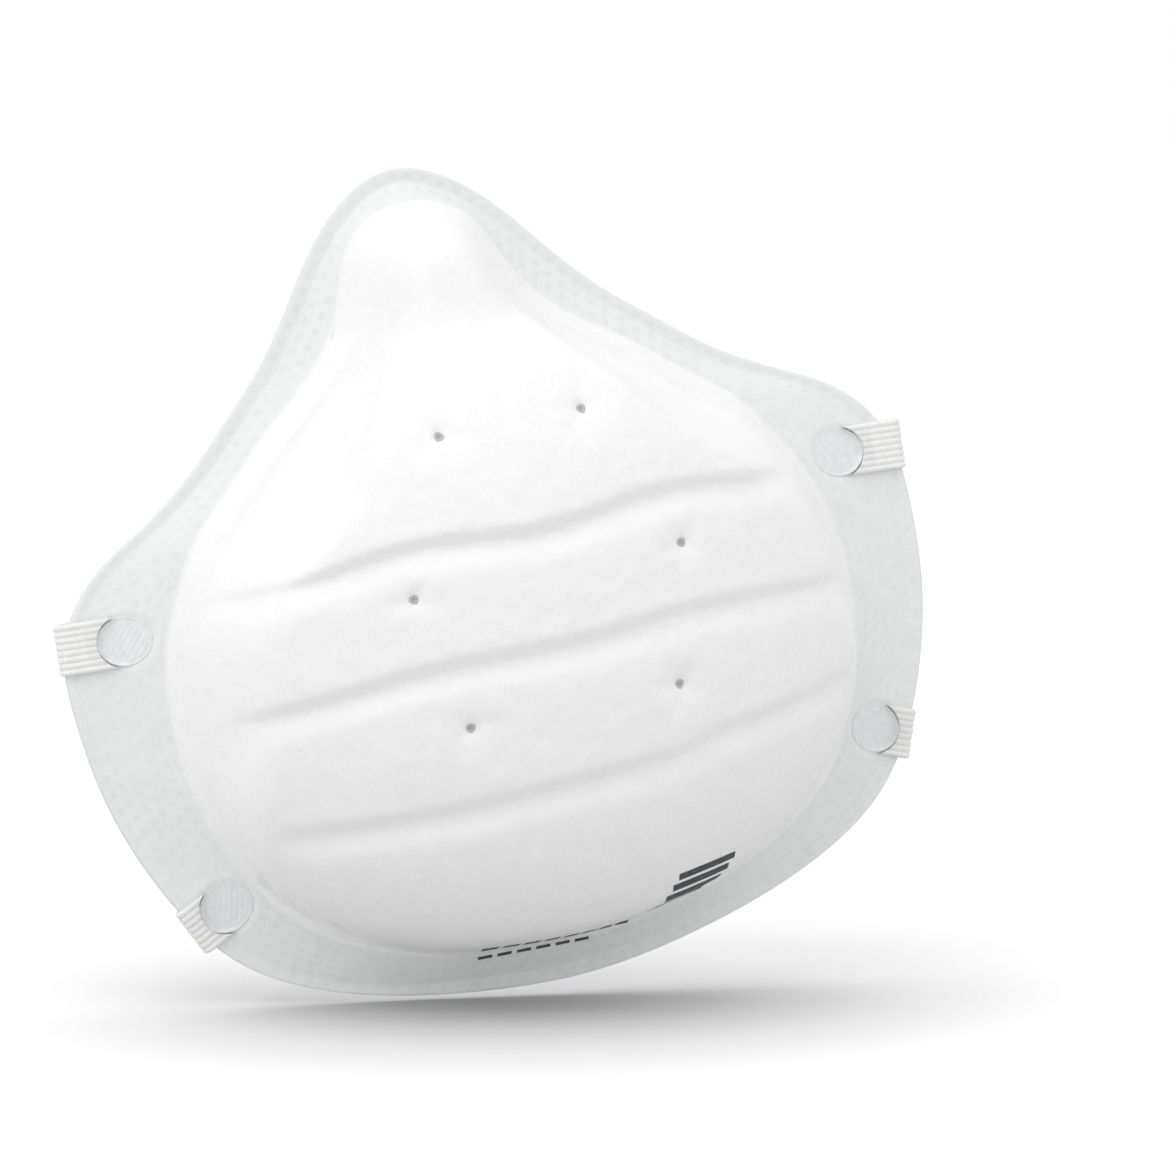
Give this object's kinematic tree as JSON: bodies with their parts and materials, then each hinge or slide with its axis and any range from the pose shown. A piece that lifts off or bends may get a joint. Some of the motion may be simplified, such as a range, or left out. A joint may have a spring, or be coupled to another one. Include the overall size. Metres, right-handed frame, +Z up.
{
  "type": "disposable dust mask",
  "caption": "Moulded cup dust mask: ribbed white cup with pre-shaped nose, flat embossed sealing flange, soft inner liner, and elastic headbands folded round the edge and welded to the flange.",
  "frame": {"origin": "the centre of the whole mask's bounding box with its bands at rest: on the centre line, in the plane of the cup's foot, midway between the nose end and the chin end of the cut edge", "axes": "+Y points back to the wearer's face, +Z up to the nose, +X to the viewer's right from the front"},
  "size_m": [0.149, 0.0869, 0.1366],
  "materials": {
    "cover_web": "matt spunbond nonwoven, calendered",
    "stiffener": "stiff thermoformed fibre shell",
    "filter_felt": "soft melt-blown and needled felt",
    "liner_web": "soft smooth nonwoven with pressed dashes",
    "fused_weld": "satin fused polypropylene",
    "elastic": "ribbed flat braided elastic"
  },
  "bodies": {
    "mask": {"outer_cover_web": "cover_web", "stiffener_shell": "stiffener", "filter_media": "filter_felt", "inner_liner": "liner_web", "tack_weld_upper_left": "fused_weld", "tack_weld_upper_right": "fused_weld", "tack_weld_middle_left": "fused_weld", "tack_weld_middle_right": "fused_weld", "tack_weld_lower_left": "fused_weld", "tack_weld_lower_right": "fused_weld", "upper_band_end_left": "elastic", "upper_band_weld_left": "fused_weld", "upper_band_end_right": "elastic", "upper_band_weld_right": "fused_weld", "lower_band_end_left": "elastic", "lower_band_weld_left": "fused_weld", "lower_band_end_right": "elastic", "lower_band_weld_right": "fused_weld"},
    "upper_band": {"upper_band_arm_left": "elastic", "upper_band_arm_right": "elastic"},
    "upper_band_crown": {"upper_band_crown": "elastic"},
    "lower_band": {"lower_band_arm_left": "elastic", "lower_band_arm_right": "elastic"},
    "lower_band_crown": {"lower_band_crown": "elastic"}
  },
  "joints": [
    {"name": "upper_band_swing", "type": "hinge", "parent": "mask", "child": "upper_band", "pos_m": [0, 0.008, 0.0045], "axis": [1, 0, 0], "range_deg": [-40, 60], "stiffness_Nm_per_rad": 0.002},
    {"name": "upper_band_stretch", "type": "slide", "parent": "upper_band", "child": "upper_band_crown", "axis": [0, 1, 0], "range_m": [0, 0.12], "stiffness_N_per_m": 18, "deforming": ["upper_band_arm_left", "upper_band_arm_right"]},
    {"name": "lower_band_swing", "type": "hinge", "parent": "mask", "child": "lower_band", "pos_m": [0, 0.008, -0.0448], "axis": [1, 0, 0], "range_deg": [-60, 40], "stiffness_Nm_per_rad": 0.002},
    {"name": "lower_band_stretch", "type": "slide", "parent": "lower_band", "child": "lower_band_crown", "axis": [0, 1, 0], "range_m": [0, 0.11], "stiffness_N_per_m": 20, "deforming": ["lower_band_arm_left", "lower_band_arm_right"]}
  ]
}
